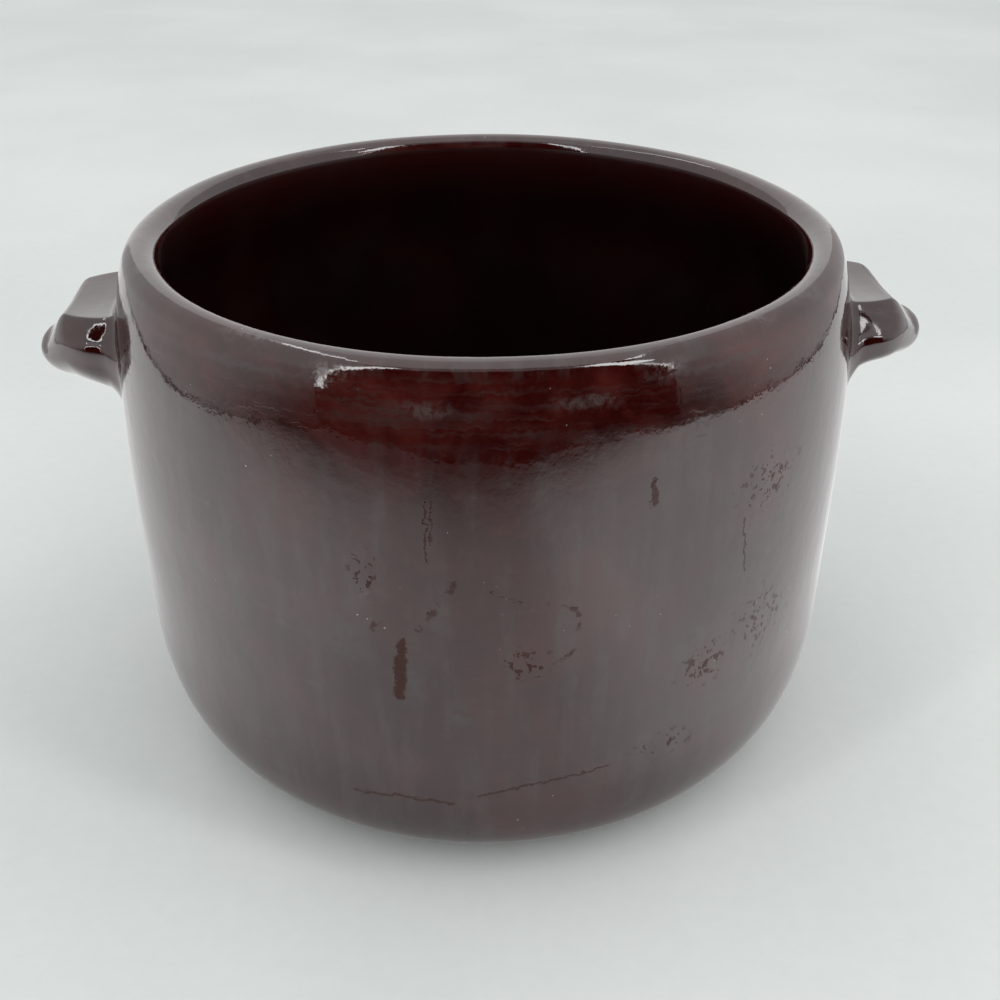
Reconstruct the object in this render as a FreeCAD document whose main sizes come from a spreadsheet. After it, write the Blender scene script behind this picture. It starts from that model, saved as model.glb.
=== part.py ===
"""Stoneware bean pot: one open vessel with a rolled lip, and two solid lug handles luted onto its wall.

Millimetres. Z is the pot's axis, the pot stands on z = 0, and the two lug handles lie along X.
The vessel is a wall section turned about Z. A lug handle is a skin over upright sections set along X,
cut to the vessel's outside so that it seats on the wall.
"""
import FreeCAD, Part
import math
import os

import Sketcher

Vector = FreeCAD.Vector

# Driving dimensions. Radii are from the pot's axis and heights from the table, unless the name says
# otherwise. A fullness is the share of a free curve's own rise or run that follows its end tangent.
SIZES = {
    # vessel, outside
    "overall_height": 140.0,
    "belly_radius": 95.0,
    "belly_level": 41.0,
    "wall_fullness": 0.30,
    "shoulder_fullness": 0.20,
    "heel_rise_fullness": 0.67,
    "heel_run_fullness": 0.57,
    # foot: a bare ring that carries the pot, round a shallow recess
    "foot_radius": 66.0,
    "foot_ring_width": 6.0,
    "foot_ring_slope": 2.0,
    "foot_recess": 2.5,
    # lip: the wall turns in and ends in a fat round bead, its crest lip_inset inside the belly
    "lip_inset": 10.0,
    "lip_outer_round": 5.0,
    "lip_outer_turn": 68.5,
    "lip_inner_round": 4.3,
    # vessel, inside
    "wall": 6.5,
    "floor_thickness": 7.0,
    "inner_shoulder_height": 36.0,
    "inner_lip_fullness": 0.17,
    "inner_shoulder_fullness": 0.50,
    "inner_heel_rise": 33.0,
    "inner_heel_run": 30.0,
    "inner_heel_fullness": 0.66,
    # lug handle: a tongue that runs out to a blunt nose. Its thumb rest is a raised, slightly dished
    # flat with a crisp rim, which lies rest_edge_round inside the lug's side.
    # The tip of the nose lies lug_drop below the lip's crest.
    "lug_drop": 30.1,
    "lug_reach": 22.2,
    "lug_root_depth": 5.5,
    "nose_rise": 5.5,
    "nose_drop": 6.5,
    "nose_half_width": 20.4,
    "rest_rise": 6.7,
    "rest_extra_half_width": 4.1,
    "rest_edge_round": 8.0,
    "rest_dish": 1.0,
    "rest_fall": 1.5,
    "sweep_reach": 12.4,
    "sweep_drop": 5.0,
    "joint_flare": 2.6,
    "joint_flare_reach": 4.5,
}

# Shares of the lug's reach, 0 at the wall and 1 at the tip, where its forms begin and end.
REST_TOP_FALLS = (0.46, 0.84)
REST_SIDE_NARROWS = (0.47, 0.89)
REST_RIM_ENDS = 0.77
DISH_FADES_FROM = 0.23
WIDEST_LEVEL_SHIFTS = (0.25, 0.86)
NOSE_TOP_ROUNDS_FROM = 0.64
NOSE_SIDE_ROUNDS_FROM = 0.00
NOSE_UNDERSIDE_ROUNDS_FROM = 0.20

# Proportions of a lug's section.
WIDEST_HEIGHT_SHARES = (0.58, 0.63)
NOSE_FLAT_SHARE = 0.16
RIM_SHARE_LIMIT = 0.90
RIM_PLAN_POWER = 3.0
RIM_BLEND_POWER = 4.0
DISH_FLAT_SHARE = 0.35
RIM_FLAT_SHARE = 0.65
DISH_RIM_SLOPE = 0.12
RIM_OUTER_SLOPE = 0.39
EDGE_FLAT_SHARE = 0.29
SIDE_UPRIGHT_SHARE = 0.41
FLANK_UPRIGHT_SHARE = 0.73
UNDERSIDE_FLAT_SHARE = 0.33
UNDERSIDE_SWEEP_POWER = 2.39
FLARE_POWER = 2.0

# The share of a quarter ellipse's axis that its cubic curve's handle takes.
QUARTER_ROUND = 0.5523

# Sections along the lug's straight part and over its round end.
STRAIGHT_STATIONS = 9
ROUND_STATIONS = 7


def fill_sheet(doc):
    """The driving dimensions as a spreadsheet, one named cell each."""
    sheet = doc.addObject("Spreadsheet::Sheet", "sizes")
    for row, (name, value) in enumerate(SIZES.items(), start=1):
        sheet.set(f"A{row}", name)
        sheet.set(f"B{row}", str(value))
        sheet.setAlias(f"B{row}", name)
    doc.recompute()
    return sheet


# The vessel's wall section, as (radius, height) points written in the sheet's names.

CREST_RADIUS = "(sizes.belly_radius - sizes.lip_inset)"
TURN = "sizes.lip_outer_turn * 1 deg"
LIP_HANDLE = f"sizes.lip_outer_round * 4 / 3 * tan({TURN} / 4)"
LIP_END_RADIUS = f"{CREST_RADIUS} + sizes.lip_outer_round * sin({TURN})"
LIP_END_HEIGHT = f"sizes.overall_height - sizes.lip_outer_round * (1 - cos({TURN}))"
WALL_RISE = f"({LIP_END_HEIGHT} - sizes.belly_level)"
MOUTH_RADIUS = f"{CREST_RADIUS} - sizes.lip_inner_round"
MOUTH_HEIGHT = "sizes.overall_height - sizes.lip_inner_round"
INNER_RADIUS = "sizes.belly_radius - sizes.wall"
INNER_SHOULDER_LEVEL = f"{MOUTH_HEIGHT} - sizes.inner_shoulder_height"
FLOOR_LEVEL = "sizes.foot_recess + sizes.floor_thickness"
FOOT_RING_INNER = "sizes.foot_radius - sizes.foot_ring_width"

LIP_CREST = (CREST_RADIUS, "sizes.overall_height")
LIP_END = (LIP_END_RADIUS, LIP_END_HEIGHT)
BELLY = ("sizes.belly_radius", "sizes.belly_level")
FOOT_OUTER = ("sizes.foot_radius", "0")
MOUTH = (MOUTH_RADIUS, MOUTH_HEIGHT)
INNER_SHOULDER = (INNER_RADIUS, INNER_SHOULDER_LEVEL)
INNER_HEEL_TOP = (INNER_RADIUS, f"{FLOOR_LEVEL} + sizes.inner_heel_rise")
INNER_HEEL_END = (f"{INNER_RADIUS} - sizes.inner_heel_run", FLOOR_LEVEL)

OUTSIDE = [
    # outer half of the lip, a circular arc that turns down by lip_outer_turn
    [LIP_CREST,
     (f"{CREST_RADIUS} + {LIP_HANDLE}", "sizes.overall_height"),
     (f"{LIP_END_RADIUS} - {LIP_HANDLE} * cos({TURN})", f"{LIP_END_HEIGHT} + {LIP_HANDLE} * sin({TURN})"),
     LIP_END],
    # shoulder and nearly upright wall down to the widest level
    [LIP_END,
     (f"{LIP_END_RADIUS} + sizes.shoulder_fullness * {WALL_RISE} * cos({TURN})",
      f"{LIP_END_HEIGHT} - sizes.shoulder_fullness * {WALL_RISE} * sin({TURN})"),
     ("sizes.belly_radius", f"sizes.belly_level + sizes.wall_fullness * {WALL_RISE}"),
     BELLY],
    # heel, round under to the foot ring
    [BELLY,
     ("sizes.belly_radius", "sizes.belly_level * (1 - sizes.heel_rise_fullness)"),
     ("sizes.foot_radius + sizes.heel_run_fullness * (sizes.belly_radius - sizes.foot_radius)", "0"),
     FOOT_OUTER],
    # foot ring, its inner slope and the recess
    [FOOT_OUTER, (FOOT_RING_INNER, "0")],
    [(FOOT_RING_INNER, "0"), (f"{FOOT_RING_INNER} - sizes.foot_ring_slope", "sizes.foot_recess")],
    [(f"{FOOT_RING_INNER} - sizes.foot_ring_slope", "sizes.foot_recess"), ("0", "sizes.foot_recess")],
]

INSIDE = [
    [("0", "sizes.foot_recess"), ("0", FLOOR_LEVEL)],
    [("0", FLOOR_LEVEL), INNER_HEEL_END],
    # inside of the heel
    [INNER_HEEL_END,
     (f"{INNER_RADIUS} - sizes.inner_heel_run * (1 - sizes.inner_heel_fullness)", FLOOR_LEVEL),
     (INNER_RADIUS, f"{FLOOR_LEVEL} + sizes.inner_heel_rise * (1 - sizes.inner_heel_fullness)"),
     INNER_HEEL_TOP],
    [INNER_HEEL_TOP, INNER_SHOULDER],
    # the inside closes in under the lip
    [INNER_SHOULDER,
     (INNER_RADIUS, f"{INNER_SHOULDER_LEVEL} + sizes.inner_shoulder_fullness * sizes.inner_shoulder_height"),
     (MOUTH_RADIUS, f"{MOUTH_HEIGHT} - sizes.inner_lip_fullness * sizes.inner_shoulder_height"),
     MOUTH],
    # inner half of the lip, a quarter round
    [MOUTH,
     (MOUTH_RADIUS, f"{MOUTH_HEIGHT} + {QUARTER_ROUND} * sizes.lip_inner_round"),
     (f"{CREST_RADIUS} - {QUARTER_ROUND} * sizes.lip_inner_round", "sizes.overall_height"),
     LIP_CREST],
]

CLOSED_MOUTH = [
    [("0", "sizes.foot_recess"), ("0", "sizes.overall_height")],
    [("0", "sizes.overall_height"), LIP_CREST],
]


def tie_point(sketch, geometry, position, point):
    """Hold one sketch point at a (radius, height) pair of expressions."""
    axes = (("DistanceX", -2, point[0]), ("DistanceY", -1, point[1]))
    for kind, axis, text in axes:
        if text == "0":
            sketch.addConstraint(Sketcher.Constraint("PointOnObject", geometry, position, axis))
            continue
        value = float(sketch.evalExpression(text))
        index = sketch.addConstraint(Sketcher.Constraint(kind, -1, 1, geometry, position, value))
        name = f"{kind}_{geometry}_{position}"
        sketch.renameConstraint(index, name)
        sketch.setExpression(f"Constraints.{name}", text)


def draw_segment(sketch, points):
    """A straight line for two points, or a cubic curve for four. Returns the segment and its poles."""
    start = [Vector(*(float(sketch.evalExpression(text)) for text in point)) for point in points]
    if len(points) == 2:
        return sketch.addGeometry(Part.LineSegment(*start)), []
    curve = Part.BSplineCurve(start, None, None, False, 3, None, False)
    segment = sketch.addGeometry(curve)
    first_pole = sketch.GeometryCount
    sketch.exposeInternalGeometry(segment)
    return segment, [first_pole + 1, first_pole + 2]


def draw_loop(sketch, segments):
    """A closed chain of segments. Each one starts where the last one ended."""
    first = last = None
    for number, points in enumerate(segments):
        segment, poles = draw_segment(sketch, points)
        if last is None:
            first = segment
            tie_point(sketch, segment, 1, points[0])
        else:
            sketch.addConstraint(Sketcher.Constraint("Coincident", last, 2, segment, 1))
        for pole, point in zip(poles, points[1:3]):
            tie_point(sketch, pole, 3, point)
        if number == len(segments) - 1:
            sketch.addConstraint(Sketcher.Constraint("Coincident", segment, 2, first, 1))
        else:
            tie_point(sketch, segment, 2, points[-1])
        last = segment


def turned_body(doc, name, segments):
    """A body turned about Z from a closed half section in the XZ plane."""
    body = doc.addObject("PartDesign::Body", name)
    body.Label = name
    plane = next(item for item in body.Origin.OriginFeatures if item.Role == "XZ_Plane")
    sketch = body.newObject("Sketcher::SketchObject", f"{name}_section")
    sketch.AttachmentSupport = [(plane, "")]
    sketch.MapMode = "FlatFace"
    draw_loop(sketch, segments)
    doc.recompute()
    turned = body.newObject("PartDesign::Revolution", f"{name}_turned")
    turned.Profile = sketch
    turned.ReferenceAxis = (sketch, ["V_Axis"])
    turned.Angle = 360.0
    body.Tip = turned
    doc.recompute()
    return body


# The lug handle.

def linear_fall(share, start, end):
    """1 before start, 0 after end, and a straight fall between them."""
    return 1.0 - min(max((share - start) / (end - start), 0.0), 1.0)


def eased_fall(share, start, end):
    """1 before start, 0 after end, and an S-shaped fall between them."""
    left = linear_fall(share, start, end)
    return left * left * (3.0 - 2.0 * left)


def rounded_end(share, start):
    """1 up to start, then a quarter circle down to 0 at share 1."""
    return math.sqrt(1.0 - (1.0 - linear_fall(share, start, 1.0)) ** 2)


def joint_flare(sheet, distance):
    """How much wider the lug grows as it nears the wall, distance away from it, and stays inside it."""
    left = min(max(1.0 - distance / sheet.joint_flare_reach, 0.0), 1.0)
    return sheet.joint_flare * left ** FLARE_POWER


def lug_level(sheet):
    """Height of the tip of the lug's nose."""
    return sheet.overall_height - sheet.lug_drop


def lug_heights(sheet, share):
    """Top and underside levels of the lug at a share of its reach."""
    level = lug_level(sheet)
    distance = share * sheet.lug_reach
    sweep = max(1.0 - distance / sheet.sweep_reach, 0.0) ** UNDERSIDE_SWEEP_POWER
    top = (level
           + sheet.nose_rise * rounded_end(share, NOSE_TOP_ROUNDS_FROM)
           + sheet.rest_rise * eased_fall(share, *REST_TOP_FALLS)
           - sheet.rest_fall * max(share, 0.0))
    underside = (level
                 - sheet.nose_drop * rounded_end(share, NOSE_UNDERSIDE_ROUNDS_FROM)
                 - sheet.sweep_drop * sweep)
    return top, underside


def lug_half_width(sheet, share, wall_radius):
    """Half width of the lug at a share of its reach, with the flare where its side meets the wall."""
    half_width = (sheet.nose_half_width * rounded_end(share, NOSE_SIDE_ROUNDS_FROM)
                  + sheet.rest_extra_half_width * eased_fall(share, *REST_SIDE_NARROWS))
    side_of_wall = math.sqrt(wall_radius ** 2 - half_width ** 2)
    distance = wall_radius + share * sheet.lug_reach - side_of_wall
    return half_width + joint_flare(sheet, distance)


def rim_half_width(sheet, share, half_width):
    """Half width of the thumb rest inside its rim. In plan the rim closes in a blunt oval end."""
    widest_rim = sheet.nose_half_width + sheet.rest_extra_half_width - sheet.rest_edge_round
    closing = 1.0 - (1.0 - linear_fall(share, 0.0, REST_RIM_ENDS)) ** RIM_PLAN_POWER
    rim = widest_rim * closing ** (1.0 / RIM_PLAN_POWER)
    flat = NOSE_FLAT_SHARE * half_width
    blended = (rim ** RIM_BLEND_POWER + flat ** RIM_BLEND_POWER) ** (1.0 / RIM_BLEND_POWER)
    return min(blended, RIM_SHARE_LIMIT * half_width)


def half_section(sheet, share, wall_radius, side):
    """Poles of three cubic curves down one side of a section: dished top, sloping shoulder, curved-in side."""
    along = wall_radius + share * sheet.lug_reach
    top, underside = lug_heights(sheet, share)
    half_width = lug_half_width(sheet, share, wall_radius)
    at_wall, at_tip = WIDEST_HEIGHT_SHARES
    widest_share = at_tip + (at_wall - at_tip) * eased_fall(share, *WIDEST_LEVEL_SHIFTS)
    widest = underside + widest_share * (top - underside)
    rim = rim_half_width(sheet, share, half_width)
    edge = half_width - rim
    dished = eased_fall(share, DISH_FADES_FROM, REST_RIM_ENDS)
    centre = top - sheet.rest_dish * dished
    rim_inside = top - DISH_RIM_SLOPE * dished * (1.0 - RIM_FLAT_SHARE) * rim
    rim_outside = top - RIM_OUTER_SLOPE * dished * EDGE_FLAT_SHARE * edge

    def pole(across, height):
        return Vector(along, side * across, height)

    dish = [pole(0, centre), pole(DISH_FLAT_SHARE * rim, centre),
            pole(RIM_FLAT_SHARE * rim, rim_inside), pole(rim, top)]
    shoulder = [pole(rim, top), pole(rim + EDGE_FLAT_SHARE * edge, rim_outside),
                pole(half_width, widest + SIDE_UPRIGHT_SHARE * (top - widest)), pole(half_width, widest)]
    flank = [pole(half_width, widest), pole(half_width, widest - FLANK_UPRIGHT_SHARE * (widest - underside)),
             pole(UNDERSIDE_FLAT_SHARE * half_width, underside), pole(0, underside)]
    return [dish, shoulder, flank]


def lug_section(sheet, share, wall_radius):
    """Poles of the six curves round a whole section, from the middle of the top round to itself."""
    far_side = half_section(sheet, share, wall_radius, 1)
    near_side = half_section(sheet, share, wall_radius, -1)
    return far_side + [list(reversed(curve)) for curve in reversed(near_side)]


def lug_stations(sheet):
    """Pairs of a share of the reach and a surface parameter, from inside the wall to the tip.

    Along the straight part the two are equal. Over the round end the parameter is an arc angle, so
    that the surface closes smoothly at the tip.
    """
    root = -sheet.lug_root_depth / sheet.lug_reach
    end = NOSE_TOP_ROUNDS_FROM
    straight = [root + (end - root) * step / STRAIGHT_STATIONS for step in range(STRAIGHT_STATIONS + 1)]
    angles = [math.pi / 2 * step / ROUND_STATIONS for step in range(1, ROUND_STATIONS + 1)]
    rounded = [(end + (1 - end) * math.sin(angle), end + (1 - end) * angle) for angle in angles]
    return [(share, share) for share in straight] + rounded


def skinned_strip(rows, parameters):
    """One face through a row of like curves: each pole's track is interpolated along the lug."""
    tracks = []
    for track_points in zip(*rows):
        track = Part.BSplineCurve()
        track.interpolate(Points=list(track_points), Parameters=parameters)
        tracks.append(track)
    spine = tracks[0]
    surface = Part.BSplineSurface()
    surface.buildFromPolesMultsKnots(
        [track.getPoles() for track in tracks], [4, 4], spine.getMultiplicities(),
        [0, 1], spine.getKnots(), False, False, 3, spine.Degree)
    return surface.toShape()


def lug_form(doc, sheet, outside):
    """The lug before it is fitted: a closed skin from a flat root inside the wall to the rounded tip."""
    wall_radius = outside.Shape.slice(Vector(0, 0, 1), lug_level(sheet))[0].BoundBox.XMax
    stations = lug_stations(sheet)
    parameters = [parameter for _, parameter in stations]
    sections = [lug_section(sheet, share, wall_radius) for share, _ in stations]
    faces = [skinned_strip(rows, parameters) for rows in zip(*sections)]
    root_edges = []
    for poles in sections[0]:
        curve = Part.BezierCurve()
        curve.setPoles(poles)
        root_edges.append(curve.toShape())
    faces.append(Part.Face(Part.Wire(root_edges)))
    shell = Part.makeShell(faces)
    shell.sewShape()
    solid = Part.makeSolid(shell)
    if solid.Volume < 0:
        solid.reverse()
    form = doc.addObject("Part::Feature", "lug_form")
    form.Shape = solid
    doc.recompute()
    return form


def seated_lug(doc, name, form, outside, turn):
    """A lug cut to the vessel's outside, so that its seat lies face to face on the wall."""
    lug = doc.addObject("Part::Cut", name)
    lug.Label = name
    lug.Base = form
    lug.Tool = outside
    lug.Placement = FreeCAD.Placement(Vector(0, 0, 0), FreeCAD.Rotation(Vector(0, 0, 1), turn))
    doc.recompute()
    return lug


def check(doc, parts):
    """Stop with a message if anything failed to build."""
    for item in doc.Objects:
        if {"Invalid", "Error"} & set(item.State):
            raise RuntimeError(f"{item.Name} failed: {item.State}")
    for part in parts:
        if part.Shape.isNull() or not part.Shape.isValid() or len(part.Shape.Solids) != 1:
            raise RuntimeError(f"{part.Label} is not one valid solid")


def main():
    doc = FreeCAD.newDocument("bean_pot")
    sheet = fill_sheet(doc)
    pot = turned_body(doc, "pot_body", OUTSIDE + INSIDE)
    outside = turned_body(doc, "pot_outside", OUTSIDE + CLOSED_MOUTH)
    form = lug_form(doc, sheet, outside)
    parts = [
        pot,
        seated_lug(doc, "right_lug_handle", form, outside, 0),
        seated_lug(doc, "left_lug_handle", form, outside, 180),
    ]
    check(doc, parts)
    os.makedirs("parts", exist_ok=True)
    for part in parts:
        part.Shape.exportStep(f"parts/{part.Label}.step")
        box = part.Shape.BoundBox
        print(f"{part.Label}: {part.Shape.Volume / 1000:.1f} cm3, "
              f"x {box.XMin:.1f} to {box.XMax:.1f}, y {box.YMin:.1f} to {box.YMax:.1f}, "
              f"z {box.ZMin:.1f} to {box.ZMax:.1f}")


main()
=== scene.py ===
# %% [markdown]
# # A stoneware bean pot in an oxblood glaze
#
# The pot is an open vessel that was turned on a wheel, with a fat rolled lip, a heel that rounds
# under to a bare foot ring, and two solid lug handles set high on opposite sides. One deep red,
# mirror-like glaze runs over all of it. This script dresses the measured model in three steps: the
# shapes as smooth surfaces worked out with numpy, the glaze as a material made of nodes, and a small
# light tent round the pot, because a mirror finish only looks right with something to reflect.
#
# We load the measured model first. Its box is kept.

import math

import bpy
import numpy as np
from mathutils import Matrix


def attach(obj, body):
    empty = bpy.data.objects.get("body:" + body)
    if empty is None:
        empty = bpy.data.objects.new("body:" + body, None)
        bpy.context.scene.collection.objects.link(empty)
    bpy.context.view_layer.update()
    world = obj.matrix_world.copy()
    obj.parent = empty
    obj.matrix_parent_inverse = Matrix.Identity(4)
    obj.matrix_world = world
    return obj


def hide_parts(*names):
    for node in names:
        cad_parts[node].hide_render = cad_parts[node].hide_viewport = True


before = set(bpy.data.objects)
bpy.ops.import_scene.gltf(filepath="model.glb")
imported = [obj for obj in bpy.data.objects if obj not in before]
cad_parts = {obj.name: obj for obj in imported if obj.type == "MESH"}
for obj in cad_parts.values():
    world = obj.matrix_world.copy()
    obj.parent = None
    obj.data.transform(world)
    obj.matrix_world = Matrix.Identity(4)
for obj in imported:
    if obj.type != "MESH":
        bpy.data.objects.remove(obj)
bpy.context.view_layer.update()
MM = 0.001

# %% [markdown]
# ## The camera
#
# The camera stands in front of the pot, a little above the lip, and looks down by about 31 degrees.
# It could be aimed with a Track To constraint. Here its three directions are worked out from a
# heading, a dip and a small roll, so that nothing has to be evaluated first and the numbers can be
# read off: the columns of a camera's rotation are its right, its up, and its backwards direction.

# %% Camera
CAMERA_PLACE = (-13.245 * MM, -303.37 * MM, 238.66 * MM)
HEADING, DIP, ROLL = math.radians(3.27), math.radians(30.87), 0.00113
LENS = 44.1

ahead = np.array([math.sin(HEADING) * math.cos(DIP), math.cos(HEADING) * math.cos(DIP), -math.sin(DIP)])
level_right = np.array([math.cos(HEADING), -math.sin(HEADING), 0.0])
level_up = np.cross(level_right, ahead)
right = level_right * math.cos(ROLL) + level_up * math.sin(ROLL)
up = level_up * math.cos(ROLL) - level_right * math.sin(ROLL)

camera_data = bpy.data.cameras.new("camera")
camera_data.lens = LENS
camera_data.sensor_width = 36.0
camera = bpy.data.objects.new("camera", camera_data)
bpy.context.scene.collection.objects.link(camera)
pose = np.eye(4)
pose[:3, 0], pose[:3, 1], pose[:3, 2], pose[:3, 3] = right, up, -ahead, CAMERA_PLACE
camera.matrix_world = Matrix(pose.tolist())
bpy.context.scene.camera = camera
bpy.context.scene.view_settings.view_transform = "Standard"
print("camera", [round(c, 4) for c in CAMERA_PLACE], "looks along", ahead.round(3))

# %% [markdown]
# ## Curves and meshes from arrays
#
# Every free line on this pot is a cubic curve with four poles. A cubic curve is a weighted mean of
# its poles, so a whole row of its points comes from one matrix product. The points are then spaced
# evenly along the line, because a mirror finish shows every sudden change in the size of the faces.

# %% Curve helpers
def cubic(poles, count):
    """Points on a cubic curve. The weights of the four poles are (1-t)^3, 3t(1-t)^2, 3t^2(1-t), t^3."""
    t = np.linspace(0.0, 1.0, count)[:, None]
    weights = np.hstack([(1 - t) ** 3, 3 * t * (1 - t) ** 2, 3 * t ** 2 * (1 - t), t ** 3])
    return weights @ np.array(poles, float)


def evenly_spaced(points, count):
    """The same line with count points, each as far along it as an even share of its length."""
    steps = np.linalg.norm(np.diff(points, axis=0), axis=1)
    along = np.concatenate([[0.0], np.cumsum(steps)])
    wanted = np.linspace(0.0, along[-1], count)
    return np.stack([np.interp(wanted, along, points[:, axis]) for axis in range(points.shape[1])], axis=1)


def chain(*lines):
    """Lines joined end to end, with each shared point kept once."""
    return np.vstack([lines[0]] + [line[1:] for line in lines[1:]])


# %% [markdown]
# A surface is a grid of points: rows run along the form and columns run round it. Round a closed
# form the last column meets the first. Where a form closes to a point, its rows would shrink to
# nothing, so that row is replaced by one single point with a fan of triangles.

# %% Mesh helper
def closed_round_mesh(name, rows, first_pole=None, last_pole=None):
    """A mesh through a grid of points (row, column, xyz) whose columns close on themselves.

    Face k of a row joins columns k and k+1, counted round, of that row and the next one. A pole is
    one point that the first or last row fans out from.
    """
    row_count, column_count = rows.shape[:2]
    points = rows.reshape(-1, 3)
    here = np.arange(column_count)
    after = (here + 1) % column_count
    starts = (np.arange(row_count - 1) * column_count)[:, None]
    quads = np.stack([starts + here, starts + after, starts + column_count + after,
                      starts + column_count + here], axis=-1).reshape(-1, 4)
    faces = quads.tolist()
    extra = []
    if first_pole is not None:
        tip = len(points)
        extra.append(first_pole)
        faces += np.stack([np.full(column_count, tip), after, here], axis=-1).tolist()
    if last_pole is not None:
        tip = len(points) + len(extra)
        extra.append(last_pole)
        last = (row_count - 1) * column_count
        faces += np.stack([np.full(column_count, tip), last + here, last + after], axis=-1).tolist()
    if extra:
        points = np.vstack([points, extra])
    mesh = bpy.data.meshes.new(name)
    mesh.from_pydata(points.tolist(), [], faces)
    mesh.update()
    mesh.polygons.foreach_set("use_smooth", np.ones(len(mesh.polygons), bool))
    piece = bpy.data.objects.new(name, mesh)
    bpy.context.scene.collection.objects.link(piece)
    print(name, len(mesh.vertices), "points", len(mesh.polygons), "faces")
    return piece


# %% [markdown]
# ## The turned pot
#
# On the wheel, a pot is one wall section carried round an axis. The section below starts under the
# foot, at the axis, and runs out over the foot ring, up the outside, over the lip and down the
# inside to the middle of the floor. The sizes are the ones that the measured model was built from.

# %% Wall section
HEIGHT, BELLY_RADIUS, BELLY_LEVEL = 140.0, 95.0, 41.0
FOOT_RADIUS, FOOT_RING_WIDTH, FOOT_RING_SLOPE, FOOT_RECESS = 66.0, 6.0, 2.0, 2.5
CREST_RADIUS = BELLY_RADIUS - 10.0
LIP_ROUND, LIP_TURN, LIP_INNER_ROUND = 5.0, math.radians(68.5), 4.3
SHOULDER_FULLNESS, WALL_FULLNESS, HEEL_RISE_FULLNESS, HEEL_RUN_FULLNESS = 0.20, 0.30, 0.67, 0.57
WALL, FLOOR_LEVEL = 6.5, FOOT_RECESS + 7.0
INNER_SHOULDER_HEIGHT, INNER_LIP_FULLNESS, INNER_SHOULDER_FULLNESS = 36.0, 0.17, 0.50
INNER_HEEL_RISE, INNER_HEEL_RUN, INNER_HEEL_FULLNESS = 33.0, 30.0, 0.66
RING_EDGE, RING_BEND = 0.6, 1.0  # soft edge of the foot ring, and reach of its curve's two poles
QUARTER = 0.5523  # how far a cubic curve's pole reaches along a quarter circle of radius 1
MIDDLE_GAP = 2.0  # the section stops this far from the axis, where a fan of triangles closes it

lip_end = np.array([CREST_RADIUS + LIP_ROUND * math.sin(LIP_TURN),
                    HEIGHT - LIP_ROUND * (1 - math.cos(LIP_TURN))])
lip_handle = LIP_ROUND * 4 / 3 * math.tan(LIP_TURN / 4)
lip_direction = np.array([math.cos(LIP_TURN), -math.sin(LIP_TURN)])
rise = lip_end[1] - BELLY_LEVEL

lip_outside = cubic([(CREST_RADIUS, HEIGHT), (CREST_RADIUS + lip_handle, HEIGHT),
                     lip_end - lip_handle * lip_direction, lip_end], 80)
wall_outside = cubic([lip_end, lip_end + SHOULDER_FULLNESS * rise * lip_direction,
                      (BELLY_RADIUS, BELLY_LEVEL + WALL_FULLNESS * rise), (BELLY_RADIUS, BELLY_LEVEL)], 600)
heel_outside = cubic([(BELLY_RADIUS, BELLY_LEVEL), (BELLY_RADIUS, BELLY_LEVEL * (1 - HEEL_RISE_FULLNESS)),
                      (FOOT_RADIUS + HEEL_RUN_FULLNESS * (BELLY_RADIUS - FOOT_RADIUS), 0),
                      (FOOT_RADIUS, 0)], 300)

mouth = (CREST_RADIUS - LIP_INNER_ROUND, HEIGHT - LIP_INNER_ROUND)
inner_radius = BELLY_RADIUS - WALL
inner_shoulder = mouth[1] - INNER_SHOULDER_HEIGHT
heel_top = FLOOR_LEVEL + INNER_HEEL_RISE
heel_end = inner_radius - INNER_HEEL_RUN
lip_inside = cubic([(CREST_RADIUS, HEIGHT), (CREST_RADIUS - QUARTER * LIP_INNER_ROUND, HEIGHT),
                    (mouth[0], mouth[1] + QUARTER * LIP_INNER_ROUND), mouth], 80)
shoulder_inside = cubic([mouth, (mouth[0], mouth[1] - INNER_LIP_FULLNESS * INNER_SHOULDER_HEIGHT),
                         (inner_radius, inner_shoulder + INNER_SHOULDER_FULLNESS * INNER_SHOULDER_HEIGHT),
                         (inner_radius, inner_shoulder)], 200)
heel_inside = cubic([(inner_radius, heel_top),
                     (inner_radius, FLOOR_LEVEL + INNER_HEEL_RISE * (1 - INNER_HEEL_FULLNESS)),
                     (inner_radius - INNER_HEEL_RUN * (1 - INNER_HEEL_FULLNESS), FLOOR_LEVEL),
                     (heel_end, FLOOR_LEVEL)], 200)

ring_inner = FOOT_RADIUS - FOOT_RING_WIDTH
recess_end = ring_inner - FOOT_RING_SLOPE - RING_BEND
section = chain(
    evenly_spaced(np.array([(MIDDLE_GAP, FOOT_RECESS), (recess_end, FOOT_RECESS)]), 8),
    evenly_spaced(cubic([(recess_end, FOOT_RECESS), (recess_end + RING_BEND, FOOT_RECESS),
                         (ring_inner - RING_BEND, 0), (ring_inner + RING_EDGE, 0)], 60), 10),
    evenly_spaced(np.array([(ring_inner + RING_EDGE, 0), (FOOT_RADIUS - RING_EDGE, 0)]), 5),
    evenly_spaced(chain(np.array([(FOOT_RADIUS - RING_EDGE, 0), (FOOT_RADIUS, 0)]), heel_outside[::-1]), 52),
    evenly_spaced(wall_outside[::-1], 92),
    evenly_spaced(lip_outside[::-1], 22),
    evenly_spaced(lip_inside, 22),
    evenly_spaced(chain(shoulder_inside, np.array([(inner_radius, inner_shoulder),
                                                   (inner_radius, heel_top)])), 46),
    evenly_spaced(heel_inside, 26),
    evenly_spaced(np.array([(heel_end, FLOOR_LEVEL), (MIDDLE_GAP, FLOOR_LEVEL)]), 10),
)

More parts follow.
